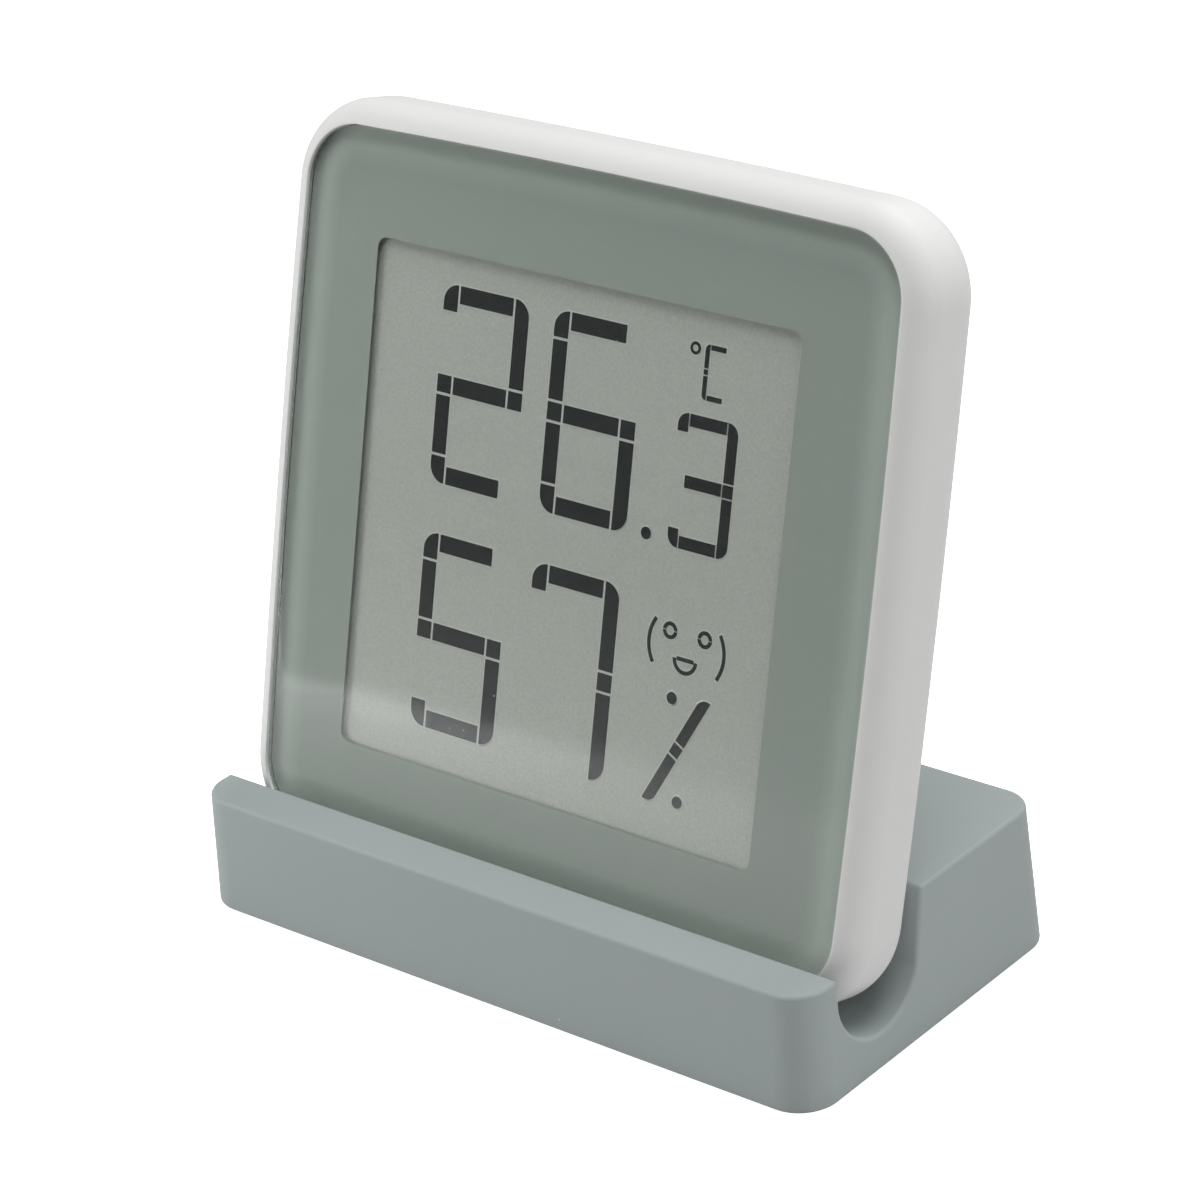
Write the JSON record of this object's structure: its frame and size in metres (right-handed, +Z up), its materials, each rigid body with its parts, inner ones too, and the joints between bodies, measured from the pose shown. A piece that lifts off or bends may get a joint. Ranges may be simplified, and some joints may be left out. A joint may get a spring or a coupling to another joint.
{
  "type": "temperature humidity sensor",
  "caption": "Square electronic paper temperature and humidity display that leans back in the groove of a one-piece silicone desk stand.",
  "frame": {"origin": "middle of the stand's underside", "axes": "+Z up, the display faces -Y, +X to the right seen from the front"},
  "size_m": [0.0655, 0.034, 0.0671],
  "materials": {
    "stand_silicone": "matte silicone with soft edges",
    "case_white": "fine satin moulding",
    "lens_clear": "clear glossy cover with rounded edges",
    "border_grey": "grey-green print on the back of the lens",
    "adhesive_black": "black foam tape",
    "frame_plastic": "plain moulding",
    "gasket_black": "black foam",
    "paper_grey": "electronic paper with a fine grain",
    "panel_glass": "thin glass",
    "chip_black": "moulded chip body",
    "flex_amber": "amber film with copper tracks",
    "tape_cream": "double-sided tape",
    "ink_dark": "dark shown segments",
    "board_green": "solder mask over glass laminate",
    "screw_steel": "zinc plated steel",
    "can_metal": "plain metal can",
    "ferrite_grey": "dull ferrite",
    "ceramic_tan": "fired ceramic",
    "sensor_white": "moulded sensor body",
    "connector_ivory": "ivory connector body",
    "switch_black": "switch body",
    "plunger_red": "switch plunger",
    "contact_nickel": "nickel plated spring strip",
    "cell_steel": "stamped steel can"
  },
  "bodies": {
    "stand": {"stand": "stand_silicone"},
    "display_unit": {"rear_housing": "case_white", "front_lens": "lens_clear", "lens_print": "border_grey", "lens_adhesive": "adhesive_black", "display_frame": "frame_plastic", "display_gasket": "gasket_black", "epaper_film": "paper_grey", "epaper_backplane": "panel_glass", "driver_chip": "chip_black", "display_flex": "flex_amber", "display_tape": "tape_cream", "temperature_digits": "ink_dark", "humidity_digits": "ink_dark", "unit_symbols": "ink_dark", "comfort_face": "ink_dark", "circuit_board": "board_green", "board_screws": "screw_steel", "microcontroller": "chip_black", "crystal": "can_metal", "boost_inductor": "ferrite_grey", "capacitors": "ceramic_tan", "humidity_sensor": "sensor_white", "flex_connector": "connector_ivory", "tact_switch": "switch_black", "battery_holder": "frame_plastic", "positive_contact": "contact_nickel", "negative_contact": "contact_nickel", "coin_cell": "cell_steel"},
    "battery_door": {"battery_door": "case_white"},
    "unit_button": {"unit_button": "case_white"},
    "switch_plunger": {"switch_plunger": "plunger_red"}
  },
  "joints": [
    {"name": "unit_lift", "type": "slide", "parent": "stand", "child": "display_unit", "axis": [0, 0.2588, 0.9659], "range_m": [0, 0.012]},
    {"name": "door_turn", "type": "hinge", "parent": "display_unit", "child": "battery_door", "pos_m": [0.0003, 0.00515, 0.03592], "axis": [0, 0.9659, -0.2588], "range_deg": [0, 45]},
    {"name": "button_press", "type": "slide", "parent": "display_unit", "child": "unit_button", "axis": [0, -0.9659, 0.2588], "range_m": [0, 0.0003], "stiffness_N_per_m": 1000},
    {"name": "plunger_press", "type": "slide", "parent": "display_unit", "child": "switch_plunger", "axis": [0, -0.9659, 0.2588], "range_m": [0, 0.0003]}
  ],
  "couplings": [
    {"joint": "plunger_press", "follows": "button_press", "ratio": 1}
  ]
}
